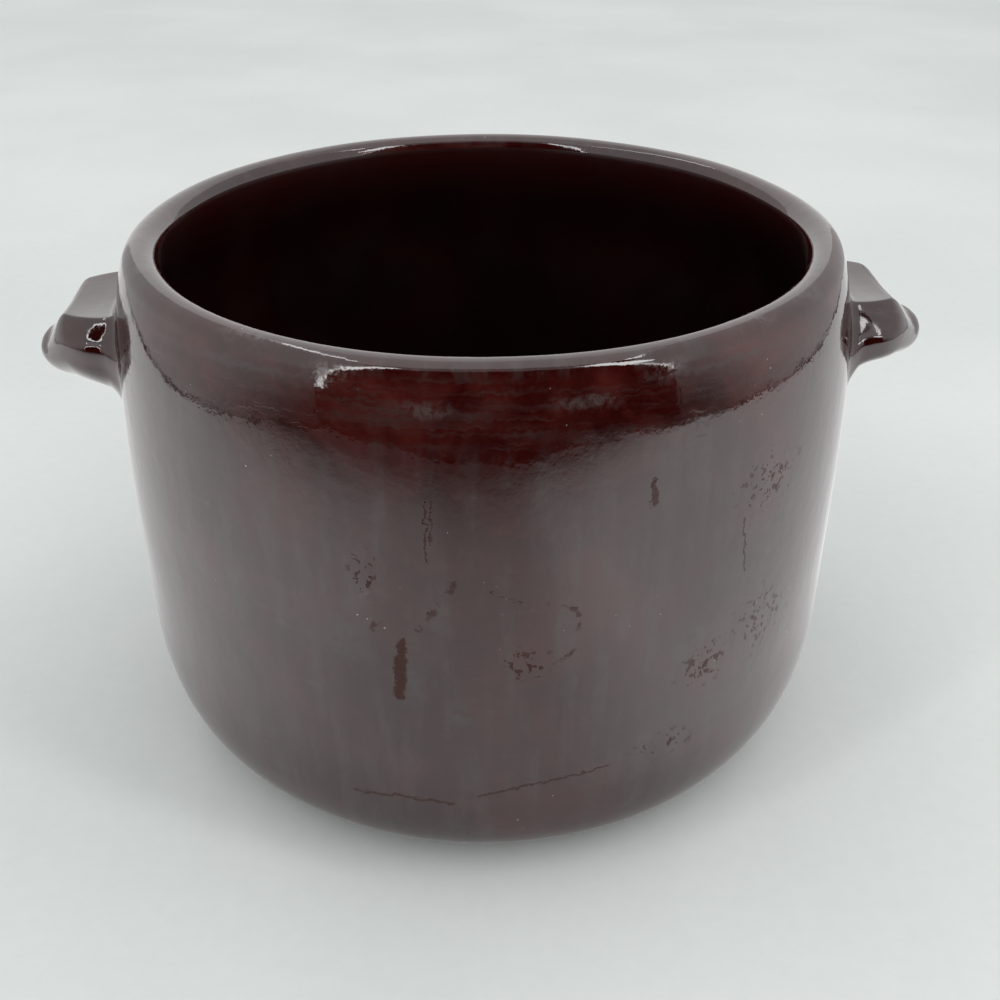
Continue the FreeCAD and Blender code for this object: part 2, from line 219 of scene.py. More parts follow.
# The glaze inside starts where the lip has turned in by 3.6 mm and down by 3 mm. Bare clay runs from
# the hollow's edge to 0.9 mm up the heel.
past_lip = (section[:, 0] < CREST_RADIUS - 3.6) & (section[:, 1] > 100.0) & (section[:, 1] < HEIGHT - 3.0)
INSIDE_FROM = int(np.argmax(past_lip))
CLAY_FROM = int(np.argmax(section[:, 0] > ring_inner - 1.2))
CLAY_TO = int(np.argmax((section[:, 0] > FOOT_RADIUS) & (section[:, 1] > 0.9)))
print("wall section", len(section), "points, largest radius", section[:, 0].max(), "mm")
print("bare clay on rows", CLAY_FROM, "to", CLAY_TO, "and the inside from row", INSIDE_FROM)

# %% [markdown]
# A hand-turned wall is never a perfect surface of revolution. It leans, it is a little out of round,
# and the potter's fingers leave shallow waves. They are far too small to see as a shape, about a
# fifth of a millimetre, but a mirror finish turns them into the wavering line where the table's
# reflection stops. They could be left to a bump texture. Here they move the surface itself, as one
# smooth sum of waves round the pot and up the wall, and they fade out at the foot, which was wiped
# flat.

# %% Hand-turned waves
waves = np.random.default_rng(7)
WAVE_COUNT = 16
wave_turns = waves.integers(2, 11, WAVE_COUNT)
wave_rises = waves.uniform(-1.0, 1.0, WAVE_COUNT) * 2 * math.pi / 70.0
wave_starts = waves.uniform(0.0, 2 * math.pi, WAVE_COUNT)
WAVE_HEIGHT = 0.035


def unevenness(angle, height):
    """How far the wall stands out from its perfect radius, in mm.

    The sum of sixteen slanted waves: the sine of a whole number of turns round the pot plus a rise
    up the wall. It is multiplied by a share that grows from 0 at the foot to 1 at 12 mm.
    """
    total = np.zeros(np.broadcast(angle, height).shape)
    for turns, rises, start in zip(wave_turns, wave_rises, wave_starts):
        total = total + WAVE_HEIGHT * np.sin(turns * angle + rises * height + start)
    share = np.clip(height / 12.0, 0.0, 1.0)
    return total * share * share * (3 - 2 * share)


# %% [markdown]
# The section is carried round the axis in 320 steps. Both faces of the wall move out by the same
# unevenness, so that the wall keeps its thickness.

# %% Turn the section
ROUND_STEPS = 320
angles = np.linspace(0.0, 2 * math.pi, ROUND_STEPS, endpoint=False)


def turned(profile, around):
    """Rows of points for a (radius, height) profile: (radius + unevenness) times cosine and sine."""
    radius = profile[:, 0][:, None]
    height = np.broadcast_to(profile[:, 1][:, None], (len(profile), len(around)))
    reach = radius + unevenness(around[None, :], height) * np.clip(radius / 60.0, 0.0, 1.0)
    return np.stack([reach * np.cos(around), reach * np.sin(around), height], axis=-1)


pot = closed_round_mesh("turned_pot", turned(section, angles) * MM,
                        first_pole=(0.0, 0.0, FOOT_RECESS * MM), last_pole=(0.0, 0.0, FLOOR_LEVEL * MM))

# %% [markdown]
# ## The lug handles
#
# A lug is a solid tongue that runs out to a blunt nose. Its top is a thumb rest: a raised flat,
# slightly dished, with a crisp rim. It is a section carried from the wall to the tip, and the section
# changes on the way. Its top, its underside, its half width and the half width of the rim depend on
# the share of the reach, from 0 at the wall to 1 at the tip. Two falls shape all of them: an eased
# fall, which slides from 1 to 0 in an S, and a rounded end, which is a quarter circle or a little
# fuller or flatter than one. The two lugs were made by hand, so they share one form and differ in
# some of its sizes.

# %% Lug sizes and falls
LUG_FORM = dict(
    # lengths in mm
    dish=1.0, rest_fall=0.9,
    # stretches of the reach, as shares of it, over which a height or a width falls away
    rim_end=0.82, dish_from=0.15, side_from=0.0, side_falls=(0.18, 0.92), widest_falls=(0.33, 0.84),
    # powers of the rounded ends: 2 is a quarter circle, more is fuller
    rim_power=1.8, side_power=2.1, top_power=2.4, sweep_power=3.1,
    # shares of a section's own height or width
    nose_flat=0.02, widest=0.49, widest_tip=0.58, shoulder_out=0.91, turn_reach=0.32, turn_upright=0.45,
    flank_upright=0.30)
RIGHT_FORM = dict(
    LUG_FORM, level=110.7, reach=22.6, nose_rise=4.3, nose_drop=9.0, nose_half=18.5, rest_rise=7.3,
    rest_extra=6.6, rim_half=16.1, sweep_reach=9.0, sweep_drop=3.2, top_falls=(0.40, 0.85), top_from=0.65,
    under_from=0.44, under_power=2.8, shoulder_down=0.53, rim_slope=0.58, turn_slope=0.66, under_flat=0.30)
LEFT_FORM = dict(
    LUG_FORM, level=109.2, reach=21.6, nose_rise=5.3, nose_drop=8.0, nose_half=17.2, rest_rise=8.0,
    rest_extra=4.7, rim_half=16.8, sweep_reach=16.2, sweep_drop=4.6, top_falls=(0.48, 0.87), top_from=0.75,
    under_from=0.45, under_power=2.4, shoulder_down=0.42, rim_slope=0.42, turn_slope=0.50, under_flat=0.50)
ROOT_LEVEL = 107.4  # height of the root's middle on the wall
FLARE, FLARE_REACH = 2.6, 4.5  # a section grows wider by this much within this distance of the wall


def outside_radius(angle, height):
    """Radius of the pot's outside at an angle and a height, unevenness and all."""
    line = np.vstack([heel_outside[::-1], wall_outside[::-1][1:]])
    return np.interp(height, line[:, 1], line[:, 0]) + unevenness(angle, height)


WALL_RADIUS = float(np.interp(ROOT_LEVEL, wall_outside[::-1][:, 1], wall_outside[::-1][:, 0]))


def fall(share, start, end):
    """1 before start, 0 after end, straight between."""
    return 1.0 - np.clip((share - start) / (end - start), 0.0, 1.0)


def eased(share, start, end):
    """1 before start, 0 after end, with an S-shaped fall 3x^2 - 2x^3 between."""
    left = fall(share, start, end)
    return left * left * (3.0 - 2.0 * left)


def rounded(share, start, power):
    """1 up to start, then (1 - u^power)^(1/power) down to 0 at the tip, a quarter circle for power 2."""
    return np.maximum(1.0 - (1.0 - fall(share, start, 1.0)) ** power, 0.0) ** (1.0 / power)


def rim_half_width(share, half, form):
    """Half width inside the rim: an oval end r (1 - u^p)^(1/p), blended into a small flat on the nose."""
    u = np.clip(share / form["rim_end"], 0.0, 1.0)
    plan = form["rim_half"] * (1.0 - u ** form["rim_power"]) ** (1 / form["rim_power"])
    return np.minimum((plan ** 4 + (form["nose_flat"] * half) ** 4) ** 0.25, 0.90 * half)


# %% [markdown]
# A lug could be lofted through a few drawn sections. Here every section comes from the same short
# list of curves, and all of them are worked out at once: a pole is a pair of arrays with one entry
# per share of the reach, so one call gives the same curve of every section.

# %% Curves with arrays of poles
def pole_curve(count, poles, start=0.0, end=1.0):
    """Points of one curve per row, through three or four poles, from parameter start to end.

    The weights are (1-t)^2, 2t(1-t), t^2 for three poles, and the cubic ones for four.
    """
    rows = len(poles[0][0])
    t = (start + (end - start) * np.linspace(0.0, 1.0, count)[:, None]).T * np.ones((rows, 1))
    if len(poles) == 3:
        weights = [(1 - t) ** 2, 2 * t * (1 - t), t ** 2]
    else:
        weights = [(1 - t) ** 3, 3 * t * (1 - t) ** 2, 3 * t ** 2 * (1 - t), t ** 3]
    return np.stack([sum(pole[axis][:, None] * weight for pole, weight in zip(poles, weights))
                     for axis in (0, 1)], axis=-1)


def unit(across, upward):
    """A direction of length 1."""
    length = np.hypot(across, upward) + 1e-9
    return across / length, upward / length


def ahead_of(point, direction, length):
    """The pole at a length from a point in a direction."""
    return point[0] + length * direction[0], point[1] + length * direction[1]


# %% [markdown]
# Half of a section is four cubic curves: the dish on top, the shoulder that slopes away from the rim,
# the turn where it rolls over into the side, and the flank that curves in to the middle of the
# underside. Only the rim is crisp, and a little of it is replaced by a curve with three poles. The
# other half is the mirror image.

# %% Lug sections
RIM_SOFTNESS = 0.55  # the rim is softened from this far on either side of it, in mm
DISH_SLOPE = 0.042  # how far the dish's third pole lies below the rim, as a share of its half width
ROUND_OUT, ROUND_DOWN = 0.707, 0.293  # half way round a quarter circle: how far out and how far down


def lug_sections(shares, form, points=(14, 7, 16, 12, 18)):
    """Points (share, round the section, xyz) in mm of the lug, for an array of shares of its reach."""
    distance = shares * form["reach"]
    top = (form["level"] + form["nose_rise"] * rounded(shares, form["top_from"], form["top_power"])
           + form["rest_rise"] * eased(shares, *form["top_falls"])
           - form["rest_fall"] * np.maximum(shares, 0.0))
    sweep = np.maximum(1.0 - distance / form["sweep_reach"], 0.0) ** form["sweep_power"]
    underside = (form["level"] - form["nose_drop"] * rounded(shares, form["under_from"], form["under_power"])
                 - form["sweep_drop"] * sweep)
    half = (form["nose_half"] * rounded(shares, form["side_from"], form["side_power"])
            + form["rest_extra"] * eased(shares, *form["side_falls"]))
    to_wall = WALL_RADIUS + distance - np.sqrt(WALL_RADIUS ** 2 - half ** 2)
    half = half + FLARE * np.clip(1.0 - to_wall / FLARE_REACH, 0.0, 1.0) ** 2
    widest_share = form["widest_tip"] + ((form["widest"] - form["widest_tip"])
                                         * eased(shares, *form["widest_falls"]))
    widest = underside + widest_share * (top - underside)
    rim = rim_half_width(shares, half, form)
    edge, height = half - rim, top - widest
    dished = eased(shares, form["dish_from"], form["rim_end"])
    centre = top - form["dish"] * dished
    none = np.zeros_like(shares)

    out_share = ROUND_OUT + (form["shoulder_out"] - ROUND_OUT) * dished
    down_share = ROUND_DOWN + (form["shoulder_down"] - ROUND_DOWN) * dished
    crest, roll = (rim, top), (rim + out_share * edge, top - down_share * height)
    off_rim = unit(none + 1.0, -form["rim_slope"] * dished)
    steep, oval = unit(none + 1.0, none - form["turn_slope"]), unit(edge + 1e-9, -height)
    over = unit(dished * steep[0] + (1 - dished) * oval[0], dished * steep[1] + (1 - dished) * oval[1])
    shoulder_length = np.hypot(roll[0] - crest[0], roll[1] - crest[1])
    turn_length = np.hypot(half - roll[0], widest - roll[1])

    inner_cut = 1.0 - np.minimum(RIM_SOFTNESS / (1.05 * rim + 1e-6), 0.2)
    outer_cut = np.minimum(RIM_SOFTNESS / (1.05 * shoulder_length + 1e-6), 0.2)
    dish = pole_curve(points[0], ((none, centre), (0.35 * rim, centre),
                                  (0.65 * rim, top - DISH_SLOPE * dished * rim), crest), none, inner_cut)
    shoulder = pole_curve(points[2], (crest, ahead_of(crest, off_rim, 0.35 * shoulder_length),
                                      ahead_of(roll, over, -0.35 * shoulder_length), roll),
                          outer_cut, none + 1.0)
    crest_curve = pole_curve(points[1], ((dish[:, -1, 0], dish[:, -1, 1]), crest,
                                         (shoulder[:, 0, 0], shoulder[:, 0, 1])))
    turn_over = pole_curve(points[3], (roll, ahead_of(roll, over, form["turn_reach"] * turn_length),
                                       (half, widest + form["turn_upright"] * turn_length), (half, widest)))
    flank_bend = (half, widest - form["flank_upright"] * (widest - underside))
    flank = pole_curve(points[4], ((half, widest), flank_bend, (form["under_flat"] * half, underside),
                                   (none, underside)))
    one_side = np.concatenate([dish[:, :-1], crest_curve[:, :-1], shoulder[:, :-1], turn_over[:, :-1], flank],
                              axis=1)
    other_side = one_side[:, -2:0:-1] * np.array([-1.0, 1.0])
    outline = np.concatenate([one_side, other_side], axis=1)
    along = np.broadcast_to((WALL_RADIUS + distance)[:, None], outline.shape[:2])
    return np.concatenate([along[..., None], outline], axis=-1)


# %% [markdown]
# A lug is luted on with slip, and a wet finger is drawn round the joint, so the two forms meet in a
# small hollow curve and not in a sharp crease. Each line of the lug, from the tip to the wall, is
# followed until it is 2.6 mm from the wall. From there a curve with three poles takes over. The
# first pole is on the lug, the second is where the line would have met the wall, and the third is on
# the wall, 2.6 mm outside the joint. Such a curve leaves the lug and meets the wall without a corner.

# %% Lug surface
FILLET = 2.6
FILLET_ROWS = 12
SUNK = 0.03  # the fillet ends this far inside the wall, so that no light shows between the two


def lug_grid(turn, form, straight_rows=56, end_rows=34):
    """Rows from the wall out to the tip of one lug, and the tip. turn is the lug's angle round the pot."""
    end_from = 0.64
    end_shares = end_from + (1 - end_from) * np.sin(np.linspace(0, math.pi / 2, 500))
    fine = np.concatenate([np.linspace(-0.25, end_from, 1200), end_shares[1:]])
    lines = lug_sections(fine, form)
    angle = np.arctan2(lines[..., 1], lines[..., 0]) + turn
    gap = np.hypot(lines[..., 0], lines[..., 1]) - outside_radius(angle, lines[..., 2])

    def place(wanted):
        """Fractional row at which each line last passes the wanted gap, counted from the tip."""
        below = gap <= wanted
        row = len(fine) - 1 - np.argmax(below[::-1], axis=0)
        columns = np.arange(gap.shape[1])
        low, high = gap[row, columns], gap[row + 1, columns]
        return row + (wanted - low) / (high - low)

    def at(row):
        """Points of every line at fractional rows, between the two nearest."""
        row = np.clip(row, 0, len(fine) - 1.001)
        low = np.floor(row).astype(int)
        share = (row - low)[..., None]
        columns = np.broadcast_to(np.arange(lines.shape[1]), low.shape)
        return lines[low, columns] * (1 - share) + lines[low + 1, columns] * share

    joint, leave = place(0.0), place(FILLET)
    on_joint, on_lug = at(joint), at(leave)
    joint_angle = np.arctan2(on_joint[:, 1], on_joint[:, 0])
    flat = np.stack([WALL_RADIUS * joint_angle, on_joint[:, 2]], axis=-1)
    tangent = np.roll(flat, -1, axis=0) - np.roll(flat, 1, axis=0)
    tangent /= np.linalg.norm(tangent, axis=1)[:, None]
    away = np.stack([-tangent[:, 1], tangent[:, 0]], axis=-1)
    away *= np.sign(np.sum(away * (flat - flat.mean(axis=0)), axis=1))[:, None]
    landing = flat + FILLET * away
    landing_angle = landing[:, 0] / WALL_RADIUS
    radius = outside_radius(landing_angle + turn, landing[:, 1]) - SUNK
    on_wall = np.stack([radius * np.cos(landing_angle), radius * np.sin(landing_angle), landing[:, 1]],
                       axis=-1)

    t = np.linspace(0.0, 1.0, FILLET_ROWS, endpoint=False)[:, None, None]
    fillet = (1 - t) ** 2 * on_wall + 2 * t * (1 - t) * on_joint + t ** 2 * on_lug
    end_start = float(np.searchsorted(fine, end_from))
    share = np.linspace(0.0, 1.0, straight_rows)[:, None]
    straight = at(leave * (1 - share) + end_start * share)
    curved = at(np.broadcast_to(np.linspace(end_start, len(fine) - 1, end_rows + 1)[1:-1, None],
                                (end_rows - 1, lines.shape[1])))
    rows = np.concatenate([fillet, straight, curved])
    tip = lines[-1, 0]
    spin = np.array([[math.cos(turn), math.sin(turn), 0], [-math.sin(turn), math.cos(turn), 0], [0, 0, 1.0]])
    return rows @ spin, tip @ spin


lugs = []
for name, turn, form in (("right_lug", 0.0, RIGHT_FORM), ("left_lug", math.pi, LEFT_FORM)):
    rows, tip = lug_grid(turn, form)
    lugs.append(closed_round_mesh(name, rows * MM, last_pole=tip * MM))

# %% [markdown]
# ## The glaze
#
# An oxblood glaze is a deep red glass. Where it lies thick it is nearly black, and where it runs
# thin over an edge it glows red-brown. It reflects about a tenth of the light that meets it head on,
# more than window glass, because the copper and iron in it raise its index to about 1.9. Years of
# use have dulled it: fine scratches, rubbed patches, small pits, and a few stains.
#
# The material is made of nodes on one Principled shader. Its patterns read Object coordinates, which
# are the same for the pot and both lugs, so the glaze runs on from one piece to the next.

# %% Node helpers
class Nodes:
    """A short way to write a node tree: each method adds one node and returns its output socket."""

    def __init__(self, owner):
        owner.use_nodes = True
        self.tree, self.name = owner.node_tree, owner.name
        self.tree.nodes.clear()

    def add(self, kind, output=0, settings=(), **inputs):
        node = self.tree.nodes.new(kind)
        for name, value in settings:
            setattr(node, name, value)
        for name, value in inputs.items():
            key = int(name[1:]) if name[0] == "i" and name[1:].isdigit() else name.replace("_", " ")
            self.put(node.inputs[key], value)
        return node.outputs[output] if len(node.outputs) else node

    def put(self, socket, value):
        if isinstance(value, bpy.types.NodeSocket):
            self.tree.links.new(value, socket)
        else:
            socket.default_value = value

    def math(self, operation, a, b=0.0, c=0.0, clamp=False):
        return self.add("ShaderNodeMath", settings=(("operation", operation), ("use_clamp", clamp)),
                        i0=a, i1=b, i2=c)

    def vector(self, operation, a, b=(0.0, 0.0, 0.0), output=0):
        return self.add("ShaderNodeVectorMath", output, (("operation", operation),), i0=a, i1=b)

    def scaled(self, a, factor):
        node = self.tree.nodes.new("ShaderNodeVectorMath")
        node.operation = "SCALE"
        self.put(node.inputs[0], a)
        self.put(node.inputs["Scale"], factor)
        return node.outputs[0]

    def noise(self, place, size_mm, detail=2.0, roughness=0.5, distortion=0.0):
        """Cloudy noise whose lumps are about size_mm across."""
        return self.add("ShaderNodeTexNoise", Vector=place, Scale=1000.0 / size_mm, Detail=detail,
                        Roughness=roughness, Distortion=distortion)

    def window(self, value, low, high, bottom=0.0, top=1.0):
        """A smooth step from bottom at low to top at high."""
        return self.add("ShaderNodeMapRange", settings=(("interpolation_type", "SMOOTHSTEP"),), Value=value,
                        From_Min=low, From_Max=high, To_Min=bottom, To_Max=top)

    def mix(self, share, a, b):
        """Colour a where share is 0 and colour b where it is 1."""
        node = self.tree.nodes.new("ShaderNodeMix")
        node.data_type = "RGBA"
        self.put(node.inputs["Factor"], share)
        for socket, value in ((node.inputs[6], a), (node.inputs[7], b)):
            self.put(socket, value if isinstance(value, bpy.types.NodeSocket) else (*value, 1.0))
        return node.outputs[2]

    def end(self, shader, kind="ShaderNodeOutputMaterial"):
        """Shows the shader as the finished tree."""
        self.tree.links.new(shader, self.add(kind).inputs[0])
        print(self.name, "has", len(self.tree.nodes), "nodes")


def new_material(name):
    """A new material, and the helper for its still empty node tree."""
    material = bpy.data.materials.new(name)
    return material, Nodes(material)


# %% [markdown]
# The marks of use lie on the wall, so they are placed on the wall unrolled: u is the distance round
# the pot from its front, in mm, and v is the height. A little noise is added to both, which gives
# every mark a ragged edge. A mark is then the distance to a short straight line or to a part of a
# circle, made into a smooth step.

# %% Wall coordinates
glaze, n = new_material("oxblood_glaze")
place = n.add("ShaderNodeTexCoord", "Object")
x, y, z = (n.add("ShaderNodeSeparateXYZ", axis, Vector=place) for axis in ("X", "Y", "Z"))
turn = n.math("ARCTAN2", x, n.math("MULTIPLY", y, -1.0))
flat = n.add("ShaderNodeCombineXYZ", X=n.math("MULTIPLY", turn, BELLY_RADIUS),
             Y=n.math("MULTIPLY", z, 1000.0))
ragged = n.add("ShaderNodeTexNoise", 1, Vector=place, Scale=420.0, Detail=3.0, Roughness=0.7)
ragged = n.vector("SUBTRACT", ragged, (0.5, 0.5, 0.5))
RAGGED_MM = 3.4
flat = n.vector("MULTIPLY", n.vector("ADD", flat, n.scaled(ragged, RAGGED_MM)), (1.0, 1.0, 0.0))
outside = n.window(z, 0.1365, 0.1385, 1.0, 0.0)


def line_mark(start, end, width):
    """1 on the line from start to end, 0 beyond half its width: the point's share along the line is
    held between 0 and 1, and the distance to that place on the line is measured."""
    start, end = np.array([*start, 0.0]), np.array([*end, 0.0])
    step = end - start
    away = n.vector("SUBTRACT", flat, tuple(start))
    share = n.math("MULTIPLY", n.vector("DOT_PRODUCT", away, tuple(step), output=1),
                   1.0 / float(step @ step), clamp=True)
    gap = n.vector("LENGTH", n.vector("SUBTRACT", away, n.scaled(tuple(step), share)), output=1)
    return n.window(gap, width * 0.30, width * 0.62, 1.0, 0.0)


def round_mark(middle, radius, low, high, width):
    """1 on the part of a circle whose direction, in turns of pi from +u, lies between low and high."""
    away = n.vector("SUBTRACT", flat, (*middle, 0.0))
    gap = n.math("ABSOLUTE", n.math("SUBTRACT", n.vector("LENGTH", away, output=1), radius))
    across = n.add("ShaderNodeSeparateXYZ", "X", Vector=away)
    upward = n.add("ShaderNodeSeparateXYZ", "Y", Vector=away)
    heading = n.math("MULTIPLY", n.math("ARCTAN2", upward, across), 1.0 / math.pi)
    inside = n.math("MULTIPLY", n.window(heading, low - 0.05, low + 0.05),
                    n.window(heading, high - 0.05, high + 0.05, 1.0, 0.0))
    return n.math("MULTIPLY", inside, n.window(gap, width * 0.30, width * 0.62, 1.0, 0.0))


def patch(middle, size, edge=0.5):
    """1 inside an oval of the given half sizes round a place on the wall, fading out over its edge."""
    away = n.vector("DIVIDE", n.vector("SUBTRACT", flat, (*middle, 0.0)), (*size, 1.0))
    return n.window(n.vector("LENGTH", away, output=1), 1.0 - edge, 1.0, 1.0, 0.0)


def most(*marks):
    """The strongest of several marks."""
    total = marks[0]
    for mark in marks[1:]:
        total = n.math("MAXIMUM", total, mark)
    return total


# %% [markdown]
# A pot that has been used carries a few burnt-on runs, a broken ring where something stood against
# it, dull spots, nicks where it was knocked, and long fine scratches. The runs are thin and brown,
# and duller than the glaze. The nicks are dark specks, cut out of a fine noise inside an oval.
# Scratches follow the wall for a long way, so they are a slanted noise stretched along them. The rim
# is rubbed where hands and lids touch it.

# %% Marks of use
broken = n.window(n.noise(place, 4.5, detail=3.0, roughness=0.7), 0.46, 0.60)
faint = n.math("MULTIPLY", broken, 0.7)
runs = most(line_mark((-22.9, 72.5), (-23.7, 62.7), 2.9), line_mark((-22.6, 77.5), (-22.9, 72.5), 1.8),
            n.math("MULTIPLY", line_mark((-19.0, 81.0), (-10.4, 93.6), 1.5), faint),
            n.math("MULTIPLY", line_mark((-29.0, 80.4), (-26.0, 84.0), 1.4), faint))
rings = most(round_mark((9.4, 81.6), 6.6, -0.10, 0.62, 1.3),
             round_mark((8.6, 80.2), 8.4, -0.48, -0.16, 1.0), line_mark((-3.1, 91.0), (2.9, 88.7), 0.8))
rings = n.math("MULTIPLY", rings, faint)
bloom = most(patch((-35.5, 76.0), (8.0, 12.0), 1.0), patch((-11.0, 57.0), (6.0, 8.0), 1.0),
             patch((-20.0, 66.0), (9.0, 8.0), 1.0), patch((47.0, 68.0), (12.0, 9.0), 1.0))
bloom = n.math("MULTIPLY", bloom, n.window(n.noise(place, 5.0, detail=4.0, roughness=0.75), 0.40, 0.62))
threads = most(line_mark((-36.5, 30.4), (-25.0, 31.8), 0.9), line_mark((-25.0, 31.8), (-12.6, 30.8), 1.1),
               line_mark((-5.9, 34.0), (5.7, 36.7), 0.7), line_mark((5.7, 36.7), (24.9, 39.1), 0.6),
               line_mark((-16.5, 113.0), (-16.8, 99.0), 0.6), line_mark((-15.3, 113.0), (-15.5, 102.7), 0.5),
               line_mark((56.9, 97.1), (58.6, 83.2), 0.7), line_mark((31.6, 113.9), (31.8, 108.1), 1.6))
knocks = most(patch((68.0, 66.0), (19.0, 17.0), 0.9), patch((49.0, 61.0), (13.0, 12.0), 0.9),
              patch((4.5, 72.0), (9.0, 7.5), 0.8), patch((39.0, 41.0), (15.0, 6.0), 0.9),
              patch((-30.0, 93.0), (6.0, 11.0), 0.9), patch((66.0, 104.0), (20.0, 12.0), 0.9))
speck = n.noise(place, 1.9, detail=2.0, roughness=0.6)
nicks = n.math("MULTIPLY", n.window(n.math("MULTIPLY_ADD", knocks, 0.105, speck), 0.655, 0.69), knocks)
stain = n.math("MULTIPLY", most(runs, rings, n.math("MULTIPLY", threads, 0.8), nicks), outside)

sweep = n.add("ShaderNodeMapping", Vector=flat, Rotation=(0.0, 0.0, -0.22), Scale=(0.035, 1.6, 1.0))
scratch = n.window(n.add("ShaderNodeTexNoise", Vector=sweep, Scale=1.0, Detail=3.0, Roughness=0.75),
                   0.60, 0.70)
steep = n.add("ShaderNodeMapping", Vector=flat, Rotation=(0.0, 0.0, 0.12), Scale=(1.1, 0.05, 1.0))
drag = n.window(n.add("ShaderNodeTexNoise", Vector=steep, Scale=1.0, Detail=3.0, Roughness=0.7), 0.62, 0.72)
fine = n.math("MULTIPLY", n.math("MAXIMUM", scratch, n.math("MULTIPLY", drag, 0.6)),
              n.window(n.noise(place, 45.0), 0.42, 0.60))
rubbed = most(patch((35.3, 136.1), (9.0, 3.2), 1.0), patch((64.0, 139.8), (12.0, 2.6), 0.9),
              patch((86.5, 140.0), (11.0, 2.6), 0.9), patch((109.3, 139.7), (5.0, 2.4), 1.0),
              patch((-37.1, 137.3), (9.0, 3.0), 0.9), patch((-61.0, 140.0), (14.0, 3.0), 0.9),
              patch((-16.0, 131.6), (9.0, 2.6), 0.8), patch((17.0, 132.4), (12.0, 2.6), 0.8),
              patch((-29.0, 89.0), (5.0, 4.0), 0.9))
rubbed = n.math("MULTIPLY", rubbed, n.window(n.noise(place, 2.4, detail=4.0, roughness=0.7), 0.42, 0.62))
flecks = n.window(n.noise(place, 0.9, detail=1.0), 0.785, 0.82)
dust = n.math("MULTIPLY", flecks, n.window(n.noise(place, 26.0, detail=2.0), 0.50, 0.62))
print("marks of use: 4 lines of run, 3 of ring, 8 threads, 6 knocked places, 4 dull spots")

# %% [markdown]
# The glaze itself is clouded: darker where it lies thick, redder where it ran thin, most of all over
# the rolled lip. It has a fine orange-peel surface, which breaks the edge of every reflection into
# small crinkles, and its gloss varies over hazy patches.

# %% Glaze
thick = n.noise(place, 26.0, detail=5.0, roughness=0.6, distortion=0.6)
mottle = n.noise(place, 7.0, detail=4.0, roughness=0.65)
upright = n.add("ShaderNodeMapping", Vector=flat, Scale=(0.16, 0.020, 1.0))
down = n.add("ShaderNodeTexNoise", Vector=upright, Scale=1.0, Detail=4.0, Roughness=0.65)
level = n.add("ShaderNodeMapping", Vector=flat, Scale=(0.020, 0.42, 1.0))
round_lip = n.add("ShaderNodeTexNoise", Vector=level, Scale=1.0, Detail=4.0, Roughness=0.7)
shoulder = n.math("MULTIPLY", n.window(z, 0.118, 0.130), outside)
redness = n.math("ADD", n.window(thick, 0.42, 0.66, 0.0, 0.75),
                 n.window(mottle, 0.42, 0.75, 0.0, 0.35), clamp=True)
redness = n.math("MULTIPLY", redness, n.math("MULTIPLY_ADD", shoulder, 0.50, 0.50))
DARK_GLAZE = (0.0195, 0.0008, 0.0007)
RED_GLAZE = (0.0600, 0.0088, 0.0068)
FILM = (0.0380, 0.0260, 0.0240)
BLOOM = (0.0300, 0.0310, 0.0260)
DUST = (0.42, 0.38, 0.36)
RUBBED_GLAZE = (0.0900, 0.0620, 0.0560)
STAIN = (0.0400, 0.0120, 0.0070)
colour = n.mix(redness, DARK_GLAZE, RED_GLAZE)
film = n.mix(shoulder, n.window(down, 0.44, 0.66), n.window(round_lip, 0.44, 0.66))
film = n.math("MULTIPLY", film, n.window(mottle, 0.30, 0.70, 0.35, 1.0))
for mark, share, its_colour in ((film, 0.75, FILM), (bloom, 0.75, BLOOM), (fine, 0.35, RUBBED_GLAZE),
                                (rubbed, 0.45, RUBBED_GLAZE), (stain, 0.85, STAIN)):
    colour = n.mix(n.math("MULTIPLY", mark, share), colour, its_colour)
colour = n.mix(dust, colour, DUST)

rough = n.window(n.noise(place, 20.0, detail=3.0, roughness=0.6), 0.35, 0.70, 0.035, 0.10)
for mark, share in ((stain, 0.16), (fine, 0.12), (rubbed, 0.16), (film, 0.05), (bloom, 0.10)):
    rough = n.math("ADD", rough, n.math("MULTIPLY", mark, share))

# The relief is in metres.
peel = n.math("MULTIPLY", n.noise(place, 5.0, detail=3.0, roughness=0.55), 0.000050)
ripple = n.math("MULTIPLY", n.noise(place, 16.0, detail=2.0), 0.00014)
where = n.window(n.noise(place, 40.0, detail=2.0), 0.38, 0.62, 0.35, 1.0)
crinkle = n.math("MULTIPLY", n.noise(place, 2.3, detail=2.0, roughness=0.6), where)
crinkle = n.math("MULTIPLY", crinkle, 0.000036)
crust = n.math("MULTIPLY", n.math("MULTIPLY", n.noise(place, 1.1, detail=2.0), stain), 0.00016)
groove = n.math("MULTIPLY", fine, -0.00001)
relief = n.math("ADD", n.math("ADD", peel, ripple), n.math("ADD", crust, n.math("ADD", groove, crinkle)))
bump = n.add("ShaderNodeBump", Height=relief, Strength=1.0, Distance=1.0)

n.end(n.add("ShaderNodeBsdfPrincipled", IOR=1.9, Base_Color=colour, Roughness=rough, Normal=bump,
            Specular_IOR_Level=n.math("MULTIPLY_ADD", stain, -0.36, 0.5)))
